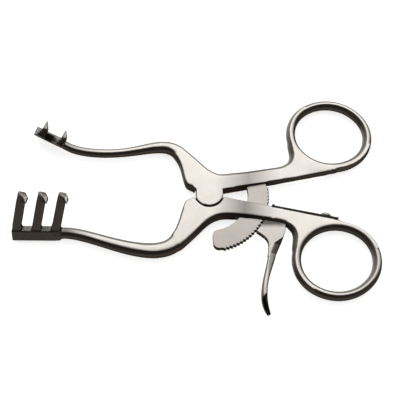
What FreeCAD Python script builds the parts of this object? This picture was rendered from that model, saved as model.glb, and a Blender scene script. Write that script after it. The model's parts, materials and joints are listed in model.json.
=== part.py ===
import FreeCAD, Part
import os
import math

os.makedirs("parts", exist_ok=True)

V = FreeCAD.Vector
Z = V(0, 0, 1)

# Self retaining retractor, millimetres.
# The origin is on the joint axis at the back face; rings lie towards +X, prongs rise towards +Z.

# Overall plate sizes
joint_depth = 5.2
mid_z = joint_depth / 2
front_taper = 0.0205
taper_start_x = -12.0
back_taper = 0.0387
back_taper_x = 14.0
lobe_radius = 5.4
lobe_flat_x = -4.9
lobe_gap = 0.06
recess_gap = 0.25
outer_round = 1.5
neck_round = 2.1
inner_round = 1.0

# Joint rivet and small pins
rivet_radius = 2.0
rivet_clearance = 0.03
small_pin_radius = 0.8
small_pin_clearance = 0.02

# Finger rings: the bow's centre line is an oval of four arcs
ring_x = 47.1
ring_y = 25.85
ring_semi_long = 15.0
ring_semi_short = 13.75
ring_end_radius = 12.9
ring_lean = 8.0
ring_width = 3.5
ring_depth = 4.3
ring_z = 2.3

# Handle inner edge, a straight line that leaves the joint at this slope
edge_y0 = 0.45
edge_slope = 0.195
merge_x = 45.0
merge_steps = [(2.2, 0.5), (4.4, 1.25)]

# Toothed bar
bar_inner = 14.8
tooth_tip = 22.9
tooth_depth = 0.75
tooth_pitch = 3.55
bar_start = 23.5
bar_end = -85.4
tooth_first = 8.0
bar_thick = 2.6
bar_z = 2.3
bar_corner = 2.2
bar_fit = 0.02

# Slot through the lower handle for the bar and the lever
slot_side_clearance = 0.15
slot_x0 = 9.4
slot_x1 = 29.6

# Release lever
pin_x = 24.0
pin_y = -9.2
pawl_clearance = 0.15
pawl_angle = -40.0

# Leaf spring and its screw
seat_cut = 0.12
spring_thick = 0.8
spring_width = 3.9
spring_z = 2.15
spring_start = 24.6
spring_end = 49.4
spring_bead = 0.62
screw_at = 44.8
screw_head_radius = 2.1
screw_head_height = 1.25
screw_shank_radius = 0.95
screw_shank_length = 3.1
screw_slot_width = 0.55
screw_slot_depth = 0.5

# Rakes
prong_width = 3.3
prong_depth = 3.0
prong_length = 15.3
prong_flare = 1.4
prong_run = V(0.22, 0.50, 0.84)
rake_height = 4.7
rake_thick = 3.6
rake_z = 3.0
lower_hook = V(1.9, -3.9, 1.2)
upper_hook = V(1.9, 4.8, 1.1)


def mirror_y(shape):
    return shape.mirror(V(0, 0, 0), V(0, 1, 0))


def smooth(points):
    curve = Part.BSplineCurve()
    curve.interpolate([V(x, y, 0) for x, y in points])
    return curve.toShape()


def straight(points):
    vectors = [V(x, y, 0) for x, y in points]
    return [Part.makeLine(a, b) for a, b in zip(vectors, vectors[1:])]


def block(x0, x1, y0, y1, z0, z1):
    return Part.makeBox(x1 - x0, y1 - y0, z1 - z0, V(x0, y0, z0))


def disc(radius, z0, z1, x=0.0, y=0.0):
    return Part.makeCylinder(radius, z1 - z0, V(x, y, z0), Z)


def section(centre, along, across, width, height, left_round, right_round):
    """Rounded rectangle square to along; the left side lies towards across."""
    along = V(along)
    along.normalize()
    across = V(across)
    across = across - along * across.dot(along)
    across.normalize()
    up = along.cross(across)
    if up.z < 0:
        up = up * -1

    def at(a, u):
        return V(centre) + across * a + up * u

    w = width / 2
    h = height / 2
    s = 1 - math.sqrt(0.5)
    a = left_round
    b = right_round
    corners = [
        (at(w - a, -h), at(w - a * s, -h + a * s), at(w, -h + a)),
        (at(w, h - a), at(w - a * s, h - a * s), at(w - a, h)),
        (at(-w + b, h), at(-w + b * s, h - b * s), at(-w, h - b)),
        (at(-w, -h + b), at(-w + b * s, -h + b * s), at(-w + b, -h)),
    ]
    edges = []
    for i, (start, middle, end) in enumerate(corners):
        edges.append(Part.Arc(start, middle, end).toShape())
        edges.append(Part.makeLine(end, corners[(i + 1) % 4][0]))
    return Part.Wire(edges)


def limb(stations, level):
    """Loft along flat stations: x, y, width, height, rounding on the +normal side and the other."""
    path = Part.BSplineCurve()
    path.interpolate([V(s[0], s[1], level) for s in stations])
    wires = []
    for x, y, width, height, left_round, right_round in stations:
        where = path.parameter(V(x, y, level))
        along = path.tangent(where)[0]
        across = Z.cross(along)
        wires.append(section(V(x, y, level), along, across, width, height, left_round, right_round))
    return Part.makeLoft(wires, True, False)


def finger_ring():
    """Oval bow: an elliptical section turned about the centre of each of the oval's four arcs."""
    end_offset = ring_semi_long - ring_end_radius
    side_radius = end_offset ** 2 + ring_semi_short ** 2 - ring_end_radius ** 2
    side_radius = side_radius / (2 * (ring_semi_short - ring_end_radius))
    side_offset = side_radius - ring_semi_short
    turn = math.degrees(math.atan2(side_offset, end_offset))
    arcs = [
        (end_offset, 0, ring_end_radius, -turn, turn),
        (0, -side_offset, side_radius, turn, 180 - turn),
        (-end_offset, 0, ring_end_radius, 180 - turn, 180 + turn),
        (0, side_offset, side_radius, 180 + turn, 360 - turn),
    ]
    pieces = []
    for x, y, radius, start, end in arcs:
        centre = V(x, y, 0)
        rim = Part.Ellipse(V(0, ring_depth / 2, 0), V(ring_width / 2, 0, 0), V(0, 0, 0)).toShape()
        profile = Part.Face(Part.Wire([rim]))
        profile.rotate(V(0, 0, 0), V(1, 0, 0), 90)
        profile.translate(V(radius, 0, 0))
        profile.rotate(V(0, 0, 0), Z, start)
        profile.translate(centre)
        pieces.append(profile.revolve(centre, Z, end - start))
    bow = pieces[0].multiFuse(pieces[1:])
    bow.rotate(V(0, 0, 0), Z, -ring_lean)
    bow.translate(V(ring_x, ring_y, ring_z))
    return bow


def ring_point(degrees):
    """Point on the bow's centre line, by its direction from the middle of the bow."""
    x = ring_semi_long * math.cos(math.radians(degrees))
    y = ring_semi_short * math.sin(math.radians(degrees))
    lean = math.radians(-ring_lean)
    turned_x = x * math.cos(lean) - y * math.sin(lean)
    turned_y = x * math.sin(lean) + y * math.cos(lean)
    return (ring_x + turned_x, ring_y + turned_y)


def edge_y(x):
    return edge_y0 + edge_slope * x


def front_z(x):
    return joint_depth - front_taper * (x - taper_start_x)


def front_wedge():
    """Everything in front of the tapering front plane."""
    corners = [(taper_start_x, joint_depth), (90, front_z(90)), (90, 40), (taper_start_x, 40)]
    profile = [V(x, -60, z) for x, z in corners]
    return Part.Face(Part.makePolygon(profile + profile[:1])).extrude(V(0, 120, 0))


def back_wedge():
    """Everything behind the back plane of the handle, which rises towards the bow."""
    rise = back_taper * (90 - back_taper_x)
    profile = [V(back_taper_x, -60, 0), V(90, -60, rise), V(90, -60, -5), V(back_taper_x, -60, -5)]
    return Part.Face(Part.makePolygon(profile + profile[:1])).extrude(V(0, 120, 0))


def rounded(solid, targets, start_radius, end_radius):
    """Fillet the back and front edges that run from the first target point to the last."""
    for level in (lambda x: 0.0, front_z):
        for edge in solid.Edges:
            ends = [v.Point for v in edge.Vertexes]
            if len(ends) < 2 or any(abs(v.z - level(v.x)) > 0.05 for v in ends):
                continue
            if not all(any(math.dist(target, (v.x, v.y)) < 0.02 for v in ends) for target in targets):
                continue
            first = edge.valueAt(edge.FirstParameter)
            forward = math.dist((first.x, first.y), targets[0]) < 0.02
            radii = (start_radius, end_radius) if forward else (end_radius, start_radius)
            solid = solid.makeFillet(radii[0], radii[1], [edge])
            break
    return solid


def handle_plate(outer_points, inner_points):
    """Joint plate, handle and neck in one outline, with rounded edges and the front tapering to the bow."""
    bow_side = [ring_point(a) for a in (188, 205, 222, 240, 258, 282)]
    merge = [(merge_x, edge_y(merge_x))]
    merge += [(merge_x + along, edge_y(merge_x) + rise) for along, rise in merge_steps]
    merge.append(ring_point(286))
    corner = [(-5.6, 1.9), (lobe_flat_x, 1.3), (5.1, edge_y(5.1)), (merge_x, edge_y(merge_x))]
    edges = [smooth(inner_points[::-1])]
    edges += straight([inner_points[0]] + corner)
    edges += [smooth(merge)]
    edges += straight([merge[-1]] + bow_side[::-1] + [outer_points[-1]])
    edges += [smooth(outer_points)]
    edges += straight([outer_points[0], inner_points[-1]])
    solid = Part.Face(Part.Wire(Part.sortEdges(edges)[0])).extrude(V(0, 0, joint_depth))
    solid = solid.cut(front_wedge()).Solids[0]
    solid = rounded(solid, [outer_points[0], outer_points[-1]], outer_round, neck_round)
    solid = rounded(solid, [inner_points[0], inner_points[-1]], inner_round, inner_round)
    solid = solid.cut(back_wedge())
    return [solid, finger_ring()]


def rake(ends, prong_count, run, out):
    """Cross bar with hooked prongs: ends are the bar's end points, out points away from the wound."""
    first, last = [V(x, y, rake_z) for x, y in ends]
    along = last - first
    length = along.Length
    along.normalize()
    run = V(run)
    run.normalize()
    upright = run - along * run.dot(along)
    upright.normalize()
    thick = along.cross(upright)
    bar_wires = [section(p, along, thick, rake_thick, rake_height, 0.5, 0.5) for p in (first, last)]
    pieces = [Part.makeLoft(bar_wires, True, False)]
    step = (length - prong_width) / (prong_count - 1)
    for i in range(prong_count):
        root = first + along * (prong_width / 2 + step * i)
        shoulder = root + upright * (rake_height / 2)
        foot = root + along * (prong_flare * (0.5 - i / (prong_count - 1)))
        bend = shoulder + run * prong_length
        tip = bend + out
        hook = bend + out * 0.45 + along * (prong_width * 0.18)
        wires = [
            section(foot, upright, along, prong_width + prong_flare, prong_depth, 0.6, 0.6),
            section(shoulder + run * 1.6, run, along, prong_width, prong_depth, 0.6, 0.6),
            section(bend - run * 2.2, run, along, prong_width, prong_depth * 0.94, 0.6, 0.6),
            section(bend, run + out * 0.12, along, prong_width * 0.94, prong_depth * 0.9, 0.6, 0.6),
            section(hook, run * 0.4 + out, along, prong_width * 0.6, prong_depth * 0.6, 0.35, 0.35),
            section(tip, out, along, 0.5, 0.5, 0.12, 0.12),
        ]
        pieces.append(Part.makeLoft(wires, True, True))
    return pieces


def joined(pieces):
    solid = pieces[0].multiFuse(pieces[1:])
    return solid.removeSplitter()


def ground_flat(solid):
    """Trim a forging to its back plane."""
    box = solid.BoundBox
    return solid.cut(block(box.XMin - 1, box.XMax + 1, box.YMin - 1, box.YMax + 1, box.ZMin - 1, 0))


def hole(radius, x, y):
    return disc(radius, -1, joint_depth + 1, x, y)


def flush_pin(x, y):
    """Small pin ground flush with both faces of the handle."""
    return disc(small_pin_radius, 0, joint_depth, x, y).cut(front_wedge()).cut(back_wedge())


def polar(radius, degrees):
    return (radius * math.cos(math.radians(degrees)), radius * math.sin(math.radians(degrees)))


# Outer edge of the neck, shared by both arms
neck = [(24.0, 11.5), (27.0, 12.1), (29.0, 12.95), (30.3, 14.0), (31.0, 15.4), (31.2, 17.1)]
neck += [(30.95, 19.1), (30.7, 21.0), (30.8, 23.0)]

# Upper arm
upper_outer = [(-10.6, 20.1), (-7.2, 17.0), (-3.4, 13.4), (0.4, 10.0), (4.2, 8.45), (7.5, 8.75)]
upper_outer += [(12.0, 9.35), (16.0, 10.0), (20.0, 10.75)] + neck
upper_inner = [(-8.6, 3.2), (-9.4, 5.1), (-10.6, 10.0), (-11.6, 12.9), (-13.5, 16.0)]
upper_limb = [
    (-11.0, 16.9, 4.95, joint_depth - 0.1, inner_round, outer_round),
    (-17.7, 20.05, 4.3, 4.6, 1.7, 1.7),
    (-28.2, 18.4, 3.4, 3.8, 1.5, 1.5),
    (-38.0, 17.2, 3.15, 3.5, 1.45, 1.45),
    (-47.5, 17.75, 3.2, 3.5, 1.45, 1.45),
    (-57.6, 22.4, 3.4, 3.6, 1.45, 1.45),
]
upper_pieces = handle_plate(upper_outer, upper_inner) + [limb(upper_limb, mid_z)]
upper_rake_ends = [(-66.5, 26.3), (-56.5, 21.1)]
upper_run = V(prong_run.x, -prong_run.y, prong_run.z)
upper_pieces += rake(upper_rake_ends, 2, upper_run, upper_hook)
upper_body = ground_flat(joined(upper_pieces))
upper_body = upper_body.cut(disc(lobe_radius + recess_gap, -1, mid_z + lobe_gap / 2))
upper_lobe = disc(lobe_radius, mid_z + lobe_gap / 2, joint_depth).cut(front_wedge())
upper_lobe = upper_lobe.common(block(lobe_flat_x, 10, -10, 10, 0, 10))
upper_arm = upper_body.fuse(upper_lobe).removeSplitter()
upper_arm = upper_arm.cut(hole(rivet_radius + rivet_clearance, 0, 0))

# Lower arm, heavier in front of the joint
lower_outer = [(-10.6, 22.3), (-7.0, 18.9), (-3.3, 15.1), (0.5, 11.5), (4.3, 9.75), (7.5, 9.5)]
lower_outer += [(12.0, 9.85), (16.0, 10.25), (20.0, 10.85)] + neck
lower_inner = [(-8.6, 3.2), (-9.4, 4.9), (-10.8, 9.6), (-11.9, 13.1), (-13.9, 16.9)]
lower_limb = [
    (-11.3, 18.3, 6.1, joint_depth - 0.1, inner_round, outer_round),
    (-18.5, 22.45, 5.6, 5.0, 2.0, 2.0),
    (-26.5, 22.2, 5.25, 4.75, 2.1, 2.1),
    (-36.5, 19.85, 4.6, 4.45, 1.95, 1.95),
    (-46.5, 17.0, 4.25, 4.3, 1.9, 1.9),
    (-57.0, 16.3, 4.2, 4.3, 1.9, 1.9),
]
lower_pieces = handle_plate(lower_outer, lower_inner) + [limb(lower_limb, mid_z)]
lower_pieces = [mirror_y(piece) for piece in lower_pieces]
lower_pieces += rake([(-72.5, -16.3), (-54.7, -16.3)], 3, prong_run, lower_hook)
lower_body = ground_flat(joined(lower_pieces))
lower_body = lower_body.cut(disc(lobe_radius + recess_gap, mid_z - lobe_gap / 2, joint_depth + 1))
lower_lobe = disc(lobe_radius, 0, mid_z - lobe_gap / 2)
lower_lobe = lower_lobe.common(block(lobe_flat_x, 10, -10, 10, -1, 10))
lower_arm = lower_body.fuse(lower_lobe).removeSplitter()
lower_arm = lower_arm.cut(hole(rivet_radius + rivet_clearance, 0, 0))
slot_half = bar_thick / 2 + slot_side_clearance
lower_arm = lower_arm.cut(block(slot_x0, slot_x1, -20, 0, bar_z - slot_half, bar_z + slot_half))
lower_arm = lower_arm.cut(hole(small_pin_radius + small_pin_clearance, pin_x, pin_y))

# Flat seat for the leaf spring along the lower handle's inner edge
edge_length = math.hypot(1, edge_slope)
edge_run = V(1 / edge_length, -edge_slope / edge_length, 0)
edge_out = V(edge_slope / edge_length, 1 / edge_length, 0)
edge_start = V(0, -edge_y0, 0)


def on_edge(distance, height, z=0.0):
    return edge_start + edge_run * distance + edge_out * height + V(0, 0, z)


def edge_block(s0, s1, h0, h1, z0, z1):
    corners = [on_edge(s0, h0, z0), on_edge(s1, h0, z0), on_edge(s1, h1, z0), on_edge(s0, h1, z0)]
    face = Part.Face(Part.makePolygon(corners + corners[:1]))
    return face.extrude(V(0, 0, z1 - z0))


lower_arm = lower_arm.cut(edge_block(spring_start - 0.4, spring_end + 0.3, -seat_cut, 3, -1, joint_depth + 1))
screw_base = on_edge(screw_at, -seat_cut, spring_z)
screw_hole_base = screw_base - edge_out * (screw_shank_length + 0.2)
screw_hole = Part.makeCylinder(screw_shank_radius + 0.02, screw_shank_length + 4, screw_hole_base, edge_out)
lower_arm = lower_arm.cut(screw_hole)

# Toothed bar, let into the upper handle
tooth_root = tooth_tip - tooth_depth
tooth_count = int((tooth_first - bar_end - 7.0) / tooth_pitch)
bar_curve = []
inner_arc = [V(*polar(bar_inner, a), 0) for a in (bar_start, (bar_start + bar_end) / 2, bar_end)]
bar_curve.append(Part.Arc(*inner_arc).toShape())
teeth = [polar(tooth_root, tooth_first)]
for i in range(tooth_count):
    top = tooth_first - i * tooth_pitch
    teeth.append(polar(tooth_tip, top - 0.35))
    teeth.append(polar(tooth_tip, top - 0.35 - 0.45))
    teeth.append(polar(tooth_root, top - tooth_pitch))
last_tooth = tooth_first - tooth_count * tooth_pitch
bar_curve += straight(teeth)
outer_arc = [V(*polar(tooth_root, a), 0) for a in (last_tooth, (last_tooth + bar_end) / 2, bar_end)]
bar_curve.append(Part.Arc(*outer_arc).toShape())
root_arc = [V(*polar(tooth_root, a), 0) for a in (bar_start, (bar_start + tooth_first) / 2, tooth_first)]
bar_curve.append(Part.Arc(*root_arc).toShape())
bar_curve += straight([polar(bar_inner, bar_start), polar(tooth_root, bar_start)])
bar_curve += straight([polar(bar_inner, bar_end), polar(tooth_root, bar_end)])
bar_wire = Part.Wire(Part.sortEdges(bar_curve)[0])
ratchet_bar = Part.Face(bar_wire).extrude(V(0, 0, bar_thick))
ratchet_bar.translate(V(0, 0, bar_z - bar_thick / 2))
end_edges = []
for edge in ratchet_bar.Edges:
    upright_edge = edge.BoundBox.ZLength > 1 and edge.BoundBox.XLength < 0.01
    for radius in (bar_inner, tooth_root):
        corner = V(*polar(radius, bar_end), bar_z)
        if upright_edge and edge.CenterOfMass.distanceToPoint(corner) < 0.05:
            end_edges.append(edge)
ratchet_bar = ratchet_bar.makeFillet(bar_corner, end_edges)

bar_half = bar_thick / 2 + bar_fit
pocket_outer = [V(*polar(tooth_tip + 0.05, a), 0) for a in (bar_start + 0.1, 8, -8)]
pocket_inner = [V(*polar(bar_inner - bar_fit, a), 0) for a in (-8, 8, bar_start + 0.1)]
pocket_edges = [Part.Arc(*pocket_outer).toShape(), Part.makeLine(pocket_outer[2], pocket_inner[0])]
pocket_edges += [Part.Arc(*pocket_inner).toShape(), Part.makeLine(pocket_inner[2], pocket_outer[0])]
pocket = Part.Face(Part.Wire(pocket_edges)).extrude(V(0, 0, 2 * bar_half))
pocket.translate(V(0, 0, bar_z - bar_half))
upper_arm = upper_arm.cut(pocket)
bar_rivets = {"bar_rivet_inner": polar(16.7, 19.0), "bar_rivet_outer": polar(20.3, 18.6)}
rivet_solids = {}
for name, (x, y) in bar_rivets.items():
    upper_arm = upper_arm.cut(hole(small_pin_radius + small_pin_clearance, x, y))
    ratchet_bar = ratchet_bar.cut(hole(small_pin_radius + small_pin_clearance, x, y))
    rivet_solids[name] = flush_pin(x, y)

# Release lever: pawl, tail under the spring, and finger piece
pawl_radius = tooth_tip + pawl_clearance
nose = polar(pawl_radius, pawl_angle)
lever_front = [V(*polar(pawl_radius, a), 0) for a in (pawl_angle, -31, -22)]
lever_edges = [Part.Arc(*lever_front).toShape()]
tail_left = on_edge(26.1, -seat_cut - 0.06)
tail_right = on_edge(28.5, -seat_cut - 0.06)
throat = [(21.9, -7.9), (23.4, -6.9), (24.3, -6.7), (tail_left.x, tail_left.y)]
lever_edges += straight([polar(pawl_radius, -22)] + throat)
lever_edges += straight([(tail_left.x, tail_left.y), (tail_right.x, tail_right.y)])
back_points = [(tail_right.x, tail_right.y), (28.5, -10.0), (28.6, -13.2)]
back_points += [(27.3, -17.9), (25.3, -22.5), (24.4, -24.7)]
lever_edges.append(smooth(back_points))
lever_edges += straight([back_points[-1], (21.6, -24.7)])
front_points = [(21.6, -24.7), (21.8, -22.5), (22.0, -20.4), (21.8, -18.9)]
front_points += [(20.9, -17.4), (19.5, -16.2), nose]
lever_edges.append(smooth(front_points))
lever_plate = Part.Face(Part.Wire(Part.sortEdges(lever_edges)[0])).extrude(V(0, 0, bar_thick))
lever_plate.translate(V(0, 0, bar_z - bar_thick / 2))
lever_finger = limb([
    (23.55, -22.4, 3.0, bar_thick - 0.1, 0.5, 0.5),
    (22.3, -27.6, 2.5, 3.2, 0.8, 0.8),
    (20.4, -35.0, 2.1, 4.4, 0.9, 0.9),
    (20.1, -41.4, 2.1, 4.6, 0.9, 0.9),
    (21.7, -46.4, 1.3, 3.4, 0.55, 0.55),
], bar_z)
release_lever = joined([lever_plate, lever_finger])
release_lever = release_lever.cut(hole(small_pin_radius + 0.04, pin_x, pin_y))

# Leaf spring with a rolled free end
half_width = spring_width / 2
spring_levels = (spring_z - half_width, spring_z + half_width)
strip = edge_block(spring_start, spring_end, -seat_cut, spring_thick - seat_cut, *spring_levels)
bead_base = on_edge(spring_start, spring_bead - seat_cut, spring_levels[0])
bead = Part.makeCylinder(spring_bead, spring_width, bead_base, Z)
leaf_spring = strip.fuse(bead).removeSplitter()
leaf_spring = leaf_spring.cut(screw_hole)

# Domed slotted screw
head_base = screw_base + edge_out * spring_thick
head = Part.makeCylinder(screw_head_radius, screw_head_height, head_base, edge_out)
rim = [e for e in head.Edges if len(e.Vertexes) == 1 and (e.CenterOfMass - head_base).dot(edge_out) > 0.5]
head = head.makeFillet(screw_head_height * 0.75, rim)
groove = Part.makeBox(8, screw_slot_width, 4, V(-4, -screw_slot_width / 2, 0))
groove.Placement = FreeCAD.Placement(
    head_base + edge_out * (screw_head_height - screw_slot_depth),
    FreeCAD.Rotation(edge_run, V(0, 0, 1), edge_out, "ZXY"),
)
head = head.cut(groove)
shank_base = head_base - edge_out * (spring_thick + screw_shank_length)
shank = Part.makeCylinder(screw_shank_radius, spring_thick + screw_shank_length, shank_base, edge_out)
spring_screw = head.fuse(shank).removeSplitter()

pivot_rivet = disc(rivet_radius, 0, joint_depth).cut(front_wedge())
lever_pin = flush_pin(pin_x, pin_y)

nodes = {
    "lower_arm": lower_arm,
    "upper_arm": upper_arm,
    "pivot_rivet": pivot_rivet,
    "ratchet_bar": ratchet_bar,
    "release_lever": release_lever,
    "lever_pin": lever_pin,
    "leaf_spring": leaf_spring,
    "spring_screw": spring_screw,
}
nodes.update(rivet_solids)
for name, shape in nodes.items():
    shape.exportStep("parts/" + name + ".step")
    box = shape.BoundBox
    sizes = [round(v, 2) for v in (box.XMin, box.XMax, box.YMin, box.YMax, box.ZMin, box.ZMax)]
    print(name, len(shape.Solids), shape.isValid(), round(shape.Volume, 2), sizes)
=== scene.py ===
import bmesh
import bpy
import json
import math
from mathutils import Matrix, Vector

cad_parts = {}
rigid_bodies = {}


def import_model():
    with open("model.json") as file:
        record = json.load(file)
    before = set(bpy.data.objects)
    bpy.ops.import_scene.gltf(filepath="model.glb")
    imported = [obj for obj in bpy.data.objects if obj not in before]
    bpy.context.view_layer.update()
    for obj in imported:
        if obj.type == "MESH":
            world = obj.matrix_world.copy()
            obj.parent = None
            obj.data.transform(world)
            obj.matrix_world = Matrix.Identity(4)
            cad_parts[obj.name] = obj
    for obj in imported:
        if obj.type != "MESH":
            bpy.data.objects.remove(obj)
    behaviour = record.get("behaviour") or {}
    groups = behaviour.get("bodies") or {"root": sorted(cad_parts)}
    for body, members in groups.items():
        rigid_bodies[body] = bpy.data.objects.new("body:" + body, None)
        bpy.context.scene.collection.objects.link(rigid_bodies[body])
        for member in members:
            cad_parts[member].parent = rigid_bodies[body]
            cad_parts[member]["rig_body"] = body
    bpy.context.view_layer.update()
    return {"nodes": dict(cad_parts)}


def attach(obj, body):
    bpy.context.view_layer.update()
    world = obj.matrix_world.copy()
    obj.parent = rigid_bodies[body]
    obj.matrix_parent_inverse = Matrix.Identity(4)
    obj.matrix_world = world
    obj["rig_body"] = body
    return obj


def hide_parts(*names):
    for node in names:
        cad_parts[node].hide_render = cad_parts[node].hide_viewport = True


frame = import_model()

MM = 0.001
nodes = frame["nodes"]
scene = bpy.context.scene
scene.view_settings.view_transform = "Standard"


# Helpers for materials. Values passed to them are sockets, unless their text says otherwise.

def new_material(name):
    material = bpy.data.materials.new(name)
    material.use_nodes = True
    tree = material.node_tree
    return material, tree, tree.nodes["Principled BSDF"]


def noise_fac(tree, place, scale, stretch=(1, 1, 1), detail=2.0):
    mapping = tree.nodes.new("ShaderNodeMapping")
    mapping.inputs["Scale"].default_value = stretch
    tree.links.new(place, mapping.inputs["Vector"])
    noise = tree.nodes.new("ShaderNodeTexNoise")
    noise.inputs["Scale"].default_value = scale
    noise.inputs["Detail"].default_value = detail
    tree.links.new(mapping.outputs["Vector"], noise.inputs["Vector"])
    return noise.outputs["Fac"]


def ranged(tree, value, span, result=(0.0, 1.0)):
    """The value's place in a span, carried over to the result's span and held at its ends."""
    node = tree.nodes.new("ShaderNodeMapRange")
    ends = ("From Min", "From Max", "To Min", "To Max")
    for end, number in zip(ends, (*span, *result)):
        node.inputs[end].default_value = number
    tree.links.new(value, node.inputs["Value"])
    return node.outputs["Result"]


def mixed(tree, factor, first, second):
    """Blend of two colours, each a plain colour or a socket."""
    node = tree.nodes.new("ShaderNodeMix")
    node.data_type = "RGBA"
    tree.links.new(factor, node.inputs["Factor"])
    for socket, value in ((node.inputs[6], first), (node.inputs[7], second)):
        if isinstance(value, tuple):
            socket.default_value = (*value, 1)
        else:
            tree.links.new(value, socket)
    return node.outputs[2]


def worked_out(tree, operation, first, second=None):
    """Result of a maths node, whose second value is a number, a socket or left out."""
    node = tree.nodes.new("ShaderNodeMath")
    node.operation = operation
    tree.links.new(first, node.inputs[0])
    if isinstance(second, float):
        node.inputs[1].default_value = second
    elif second is not None:
        tree.links.new(second, node.inputs[1])
    return node.outputs[0]


def turned(tree, vector, direction):
    """How far a vector points in a direction, from -1 to 1."""
    facing = tree.nodes.new("ShaderNodeVectorMath")
    facing.operation = "DOT_PRODUCT"
    facing.inputs[1].default_value = direction
    tree.links.new(vector, facing.inputs[0])
    return facing.outputs["Value"]


def coordinate(tree, place, axis):
    split = tree.nodes.new("ShaderNodeSeparateXYZ")
    tree.links.new(place, split.inputs["Vector"])
    return split.outputs[axis]


def bumped(tree, height, strength, distance, under=None):
    """Surface normal with a bump, on top of another bump if one is given."""
    bump = tree.nodes.new("ShaderNodeBump")
    bump.inputs["Strength"].default_value = strength
    bump.inputs["Distance"].default_value = distance
    tree.links.new(height, bump.inputs["Height"])
    if under is not None:
        tree.links.new(under, bump.inputs["Normal"])
    return bump.outputs["Normal"]


def shaded(colour, share):
    """A plain colour times a share, held at white."""
    return tuple(min(1.0, part * share) for part in colour)


# Steel. Light and shade are painted by which way a surface faces. Faces turned up, leaning a little
# toward the rings, take the bright face colour as painted light. Flanks take a dark painted shade,
# apart from those that face the upper left, which take a lighter painted light. An underside keeps
# the dark painted shade.

PAINTED_LIGHT_DIRECTION = (0.2, 0.0, 0.98)
PAINTED_SIDE_LIGHT_DIRECTION = (-0.35, 0.94, 0.0)
UPPER_SIDE = (0.0, 1.0, 0.0)
PAINTED_SIDE_LIGHT_SPAN = (-0.08, 0.8)
UNDERSIDE_SPAN = (-0.22, -0.04)
PAINTED_SIDE_LIGHT_SHARE = 0.5
# Reflection tint by the same facing: darker on flanks as painted shade, white on upturned faces
RIM_FLANK = (0.4, 0.38, 0.36)
RIM_FACE = (1.0, 1.0, 1.0)

# Along this length an arm's bright face dims toward its rake
SHANK_SPAN = (-0.0555, -0.040)
SHANK_SHARE = 0.45

NOISE_SPAN = (0.3, 0.7)
GRAIN_DETAIL = 3.0
CLOUD_SCALE = 90.0
CLOUD_SHADE = (0.93, 1.0)
PIT_SCALE = 2600.0
GRAIN_BUMP = (0.35, 0.00002)
PIT_BUMP = (0.2, 0.00001)
WORN_SPAN = (0.56, 0.64)
WORN_AMOUNT = (0.0, 0.2)
WORN_SHARE = 1.15

SATIN = (0.3, 0.42)
DULL_SATIN = (0.36, 0.48)
POLISHED = (0.2, 0.3)


def satin_steel(name, face, flank, roughness, stretch, tilt=(0.6, 0.95), painted_reflection=None, shade_zones=()):
    """Steel with painted light on its upturned faces, painted shade on its flanks, a fine grain, pits
    and worn edges.

    The tilt says how far a surface may lean before it takes the flanks' painted shade. A painted
    reflection is a greyer band (x, half width, shade at its middle), and a shade zone is a painted
    shade (axis, span, shades).
    """
    material, tree, shader = new_material(name)
    shader.inputs["Metallic"].default_value = 1.0
    place = tree.nodes.new("ShaderNodeTexCoord").outputs["Object"]
    geometry = tree.nodes.new("ShaderNodeNewGeometry")
    normal = geometry.outputs["Normal"]
    grain = noise_fac(tree, place, 1.0, stretch, GRAIN_DETAIL)
    cloud = noise_fac(tree, place, CLOUD_SCALE)
    pits = noise_fac(tree, place, PIT_SCALE)

    # Painted light and shade: upturned faces take the face colour, flanks and undersides the dark
    # flank colour
    lift = worked_out(tree, "ABSOLUTE", turned(tree, normal, PAINTED_LIGHT_DIRECTION))
    above = ranged(tree, turned(tree, normal, UPPER_SIDE), UNDERSIDE_SPAN)
    painted_lit = worked_out(tree, "MULTIPLY", ranged(tree, lift, tilt), above)
    # Painted light on flanks that face the upper left, up to half the face colour
    painted_side_light = ranged(tree, turned(tree, normal, PAINTED_SIDE_LIGHT_DIRECTION), PAINTED_SIDE_LIGHT_SPAN)
    flank_paint = mixed(tree, painted_side_light, flank, shaded(face, PAINTED_SIDE_LIGHT_SHARE))
    face_paint = face
    shade = ranged(tree, cloud, NOISE_SPAN, CLOUD_SHADE)
    # Painted dark reflection: a greyer band across the handle's face. The face also dims toward the
    # rake.
    if painted_reflection:
        middle, half_width, darkest = painted_reflection
        along = coordinate(tree, place, "X")
        away = worked_out(tree, "ABSOLUTE", worked_out(tree, "SUBTRACT", along, middle))
        band = ranged(tree, away, (0.0, half_width), (darkest, 1.0))
        shade = worked_out(tree, "MULTIPLY", shade, band)
        shank = ranged(tree, along, SHANK_SPAN)
        face_paint = mixed(tree, shank, shaded(face, SHANK_SHARE), face)
    # Painted shade zones
    for axis, span, shades in shade_zones:
        zone = ranged(tree, coordinate(tree, place, axis), span, shades)
        shade = worked_out(tree, "MULTIPLY", shade, zone)

    colour = tree.nodes.new("ShaderNodeVectorMath")
    colour.operation = "SCALE"
    tree.links.new(mixed(tree, painted_lit, flank_paint, face_paint), colour.inputs[0])
    tree.links.new(shade, colour.inputs["Scale"])
    edge = ranged(tree, geometry.outputs["Pointiness"], WORN_SPAN, WORN_AMOUNT)
    worn = mixed(tree, edge, colour.outputs["Vector"], shaded(face, WORN_SHARE))
    grained = bumped(tree, grain, *GRAIN_BUMP)
    sockets = {
        "Base Color": worn,
        "Specular Tint": mixed(tree, painted_lit, RIM_FLANK, RIM_FACE),
        "Roughness": ranged(tree, grain, NOISE_SPAN, roughness),
        "Normal": bumped(tree, pits, *PIT_BUMP, under=grained),
    }
    for socket, value in sockets.items():
        tree.links.new(value, shader.inputs[socket])
    return material


def arm_steel(name, painted_reflection):
    # The flank colour is a painted shade
    face, flank = (0.81, 0.77, 0.715), (0.05, 0.042, 0.036)
    return satin_steel(name, face, flank, SATIN, (700, 4200, 4200), (0.89, 0.972), painted_reflection)


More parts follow.
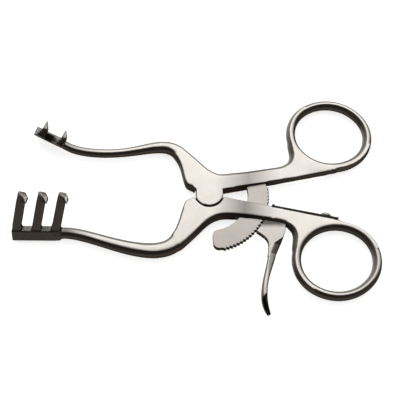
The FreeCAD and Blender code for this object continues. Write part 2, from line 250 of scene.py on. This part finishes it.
# Painted shade on the lever: a painted shadow darkens its head where it meets the handle, and painted
# shade darkens the tip of its tab
LEVER_PAINTED_SHADE = [("Y", (-0.0415, -0.0392), (0.12, 1.0)), ("Y", (-0.0135, -0.0118), (1.0, 0.2))]

# Each arm's painted dark reflection: (x, half width, shade at its middle)
upper_steel = arm_steel("upper_arm_steel", (0.015, 0.0125, 0.5))
# In each steel below, the second colour is the flanks' painted shade
materials = {
    "lower_arm": arm_steel("lower_arm_steel", (0.0135, 0.0125, 0.36)),
    "ratchet_bar": satin_steel(
        "ratchet_steel", (0.6, 0.56, 0.52), (0.03, 0.026, 0.023),
        DULL_SATIN, (2600, 2600, 700), (0.75, 0.95)),
    "release_lever": satin_steel(
        "lever_steel", (0.7, 0.655, 0.61), (0.06, 0.053, 0.047),
        SATIN, (2600, 700, 2600), (0.68, 0.99), shade_zones=LEVER_PAINTED_SHADE),
    # The spring's face is painted near black, as the shadow in the gap along the arm's edge
    "leaf_spring": satin_steel(
        "spring_steel", (0.035, 0.031, 0.027), (0.05, 0.044, 0.04),
        SATIN, (900, 4200, 4200)),
    "spring_screw": satin_steel(
        "screw_steel", (0.45, 0.43, 0.41), (0.08, 0.07, 0.06),
        POLISHED, (900, 900, 900), (0.2, 0.6)),
}


# Share of the way to its neighbours' middle that a vertex moves in one round of easing
EASE = 0.5

# Front face of both handles, which falls evenly from the joint to the rings
FACE_SLOPE = 0.0205
JOINT_DEPTH = 0.0052
SLOPE_START = -0.012


def face_height(x):
    return JOINT_DEPTH - FACE_SLOPE * (x - SLOPE_START)


# Plugs over the flush rivets and the pin, a hair above the face: (x, y, radius, bottom, top)
PLUG_SIDES = 64
RIVET_PLUGS = [
    (0, 0, 0.0023, 0.00275, 0.004975),
    (0.01579, 0.00544, 0.00105, 0.0039, 0.00465),
    (0.01924, 0.00647, 0.00105, 0.0039, 0.00458),
]
PIN_PLUGS = [(0.024, -0.0092, 0.00105, 0.0039, 0.004482)]


def plug(mesh, x, y, radius, low, high):
    """Closed round bar added to a mesh, so that a flush rivet disappears under the ground face."""
    place = Matrix.Translation(Vector((x, y, (low + high) / 2)))
    turn = Matrix.Rotation(FACE_SLOPE, 4, "Y")
    shape = bmesh.new()
    shape.from_mesh(mesh)
    bmesh.ops.create_cone(
        shape, cap_ends=True, segments=PLUG_SIDES,
        radius1=radius, radius2=radius, depth=high - low, matrix=place @ turn)
    shape.to_mesh(mesh)
    shape.free()


def ease_region(mesh, low, high, rounds):
    """Further easing of the vertices between two lengths along the instrument."""
    shape = bmesh.new()
    shape.from_mesh(mesh)
    chosen = [vertex for vertex in shape.verts if low < vertex.co.x < high]
    for _ in range(rounds):
        bmesh.ops.smooth_vert(
            shape, verts=chosen, factor=EASE,
            use_axis_x=True, use_axis_y=True, use_axis_z=True)
    shape.to_mesh(mesh)
    shape.free()


# Thumb tab of the lever. The ridge is where its bevel starts, from the head to the tip: (y, x)
TAB_RIDGE = [
    (-0.0150, 0.0300), (-0.0170, 0.0275), (-0.0196, 0.0240),
    (-0.0236, 0.0224), (-0.0282, 0.0213), (-0.0313, 0.0213),
    (-0.0380, 0.0212), (-0.0410, 0.0190), (-0.0480, 0.0165),
]
TAB_STEP = 0.0005
TAB_BLEND = 0.0005
TAB_SLOPE = 0.6
TAB_THINNEST = 0.3


def ridge_place(y):
    for (top, first), (bottom, second) in zip(TAB_RIDGE, TAB_RIDGE[1:]):
        if y >= bottom:
            return first + (second - first) * (y - top) / (bottom - top)
    return TAB_RIDGE[-1][1]


def bevel_tab(mesh):
    """The thumb tab of the lever slopes away on its right side and at its tip."""
    low, high = {}, {}
    for vertex in mesh.vertices:
        band = int(vertex.co.y / TAB_STEP)
        low[band] = min(low.get(band, 1.0), vertex.co.z)
        high[band] = max(high.get(band, -1.0), vertex.co.z)
    for vertex in mesh.vertices:
        spot = vertex.co
        over = spot.x - ridge_place(spot.y)
        if spot.y > TAB_RIDGE[0][0] or over <= 0:
            continue
        band = int(spot.y / TAB_STEP)
        drop = TAB_SLOPE * over * over / (over + TAB_BLEND)
        left = max(TAB_THINNEST, 1 - drop / (high[band] - low[band]))
        spot.z = low[band] + (spot.z - low[band]) * left


# Ring of either handle: the centre and half axes of its centreline, and the height of its crest
RING_CENTRE = (0.0471, 0.02585)
RING_AXES = (0.015, 0.01375)
RING_CREST = 0.00445
# How far beyond the ring the face is raised, as a share of the ring's half axes
RING_REACH = 0.6
HANDLE_FROM = 0.026
FACE_SKIN = 0.0002
FACE_TURN = 0.35
# Past this corner, seen from the ring's centre, the ring stands free of the handle's plate
PLATE_ABOVE = -0.004
PLATE_PAST = -0.009


def level_ring(mesh):
    """The handle's front face rises gently to the ring's crest, so that they run together."""
    for vertex in mesh.vertices:
        spot = vertex.co
        across = spot.x - RING_CENTRE[0]
        along = abs(spot.y) - RING_CENTRE[1]
        away = math.hypot(across / RING_AXES[0], along / RING_AXES[1]) - 1
        if spot.x < HANDLE_FROM or vertex.normal.z < FACE_TURN or not 0 < away < RING_REACH:
            continue
        plate = face_height(spot.x)
        if spot.z < plate - FACE_SKIN or (along > PLATE_ABOVE and across > PLATE_PAST):
            continue
        part = away / RING_REACH
        blend = 1 - part * part * (3 - 2 * part)
        spot.z = max(spot.z, plate + (RING_CREST - plate) * blend)


def soften(name, voxel, rounds, plugs=(), shape=None, regions=()):
    """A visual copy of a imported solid, resampled evenly and eased so that its edges are rounded."""
    source = nodes[name]
    mesh = source.data.copy()
    for place in plugs:
        plug(mesh, *place)
    piece = bpy.data.objects.new(name + "_forged", mesh)
    scene.collection.objects.link(piece)
    remesh = piece.modifiers.new("resample", "REMESH")
    remesh.mode = "VOXEL"
    remesh.voxel_size = voxel
    remesh.use_smooth_shade = True
    ease = piece.modifiers.new("ease", "SMOOTH")
    ease.factor = EASE
    ease.iterations = rounds
    bpy.context.view_layer.update()
    evaluated = piece.evaluated_get(bpy.context.evaluated_depsgraph_get())
    baked = bpy.data.meshes.new_from_object(evaluated)
    piece.modifiers.clear()
    piece.data = baked
    if shape:
        shape(baked)
    for region in regions:
        ease_region(baked, *region)
    for polygon in baked.polygons:
        polygon.use_smooth = True
    baked.materials.clear()
    baked.materials.append(materials.get(name, upper_steel))
    body = source["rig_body"]
    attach(piece, body)
    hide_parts(name)


# Each region is eased further: (from x, to x, rounds)
ARM_VOXEL = 0.00025
LOWER_REGIONS = [
    (-0.0552, 0.07, 3), (-0.0565, -0.052, 12), (-0.0185, -0.0095, 12), (0.028, 0.07, 5),
]
UPPER_REGIONS = [
    (-0.0575, 0.07, 3), (-0.0585, -0.054, 12), (-0.0185, -0.0058, 22), (0.028, 0.07, 5),
]

soften("lower_arm", ARM_VOXEL, 1, PIN_PLUGS, level_ring, LOWER_REGIONS)
soften("upper_arm", ARM_VOXEL, 1, RIVET_PLUGS, level_ring, UPPER_REGIONS)
soften("release_lever", voxel=0.00014, rounds=5, shape=bevel_tab)
soften("ratchet_bar", voxel=0.00012, rounds=2)
soften("leaf_spring", voxel=0.00012, rounds=2)
soften("spring_screw", voxel=0.0001, rounds=2)

# The rivets and the lever's pin keep their packed surface, in the arms' steel
for name, node in nodes.items():
    node.data.materials.clear()
    node.data.materials.append(materials.get(name, upper_steel))


# Camera, at the photo's angle

CAMERA_PLACE = (-10.56, -140.63, 312.79)
CAMERA_RIGHT = (0.99973, 0.0, 0.02333)
CAMERA_UP = (-0.00951, 0.91306, 0.40772)
CAMERA_BACK = (-0.0213, -0.40783, 0.91281)

camera_data = bpy.data.cameras.new("camera")
camera_data.sensor_fit = "HORIZONTAL"
camera_data.sensor_width = 36.0
camera_data.lens = 81.0
camera_data.clip_start = 0.01
camera = bpy.data.objects.new("camera", camera_data)
scene.collection.objects.link(camera)
basis = Matrix((CAMERA_RIGHT, CAMERA_UP, CAMERA_BACK)).transposed().to_4x4()
camera.matrix_world = Matrix.Translation(Vector(CAMERA_PLACE) * MM) @ basis
scene.camera = camera


# Floor of pale paper, just under the instrument. It looks white, and still takes the shadow.

FLOOR_REACH = 4.0
FLOOR_LEVEL = -0.00003
FLOOR_GREY = (0.86, 0.86, 0.86)
FLOOR_ROUGHNESS = 0.9
FLOOR_GLOW = 0.74
FLOOR_CORNERS = [(-1, -1), (1, -1), (1, 1), (-1, 1)]

floor_mesh = bpy.data.meshes.new("floor")
corners = [(x * FLOOR_REACH, y * FLOOR_REACH, FLOOR_LEVEL) for x, y in FLOOR_CORNERS]
floor_mesh.from_pydata(corners, [], [(0, 1, 2, 3)])
floor = bpy.data.objects.new("floor", floor_mesh)
scene.collection.objects.link(floor)
paper, tree, shader = new_material("floor_paper")
paths = tree.nodes.new("ShaderNodeLightPath")
seen = paths.outputs["Is Camera Ray"]
for other in ("Is Glossy Ray", "Is Transmission Ray"):
    seen = worked_out(tree, "MAXIMUM", seen, paths.outputs[other])
glow = worked_out(tree, "MULTIPLY", seen, FLOOR_GLOW)
shader.inputs["Base Color"].default_value = (*FLOOR_GREY, 1)
shader.inputs["Roughness"].default_value = FLOOR_ROUGHNESS
shader.inputs["Emission Color"].default_value = (1, 1, 1, 1)
tree.links.new(glow, shader.inputs["Emission Strength"])
floor_mesh.materials.append(paper)


# Soft light from above, on the upper arm's side

SOFTBOX_PLACE = Vector((0.0, 0.52, 0.66))
SOFTBOX_SIZE = (1.0, 0.8)
SOFTBOX_POWER = 2.1

softbox = bpy.data.lights.new("softbox_top", "AREA")
softbox.shape = "RECTANGLE"
softbox.size, softbox.size_y = SOFTBOX_SIZE
softbox.energy = SOFTBOX_POWER
lamp = bpy.data.objects.new("softbox_top", softbox)
scene.collection.objects.link(lamp)
lamp.location = SOFTBOX_PLACE
lamp.rotation_euler = (-SOFTBOX_PLACE).to_track_quat("-Z", "Y").to_euler()


# Room: bright all round, dimmer over the camera so that the upturned faces aren't washed out

DIM_DIRECTION = (0.0, -0.45, 0.893)
DIM_SPAN = (0.6, 0.86)
ROOM_BRIGHT = (0.55, 0.55, 0.55)
ROOM_DIM = (0.24, 0.235, 0.23)

world = bpy.data.worlds.new("world")
world.use_nodes = True
tree = world.node_tree
direction = tree.nodes.new("ShaderNodeTexCoord").outputs["Generated"]
dim = ranged(tree, turned(tree, direction, DIM_DIRECTION), DIM_SPAN)
room = mixed(tree, dim, ROOM_BRIGHT, ROOM_DIM)
tree.links.new(room, tree.nodes["Background"].inputs["Color"])
scene.world = world
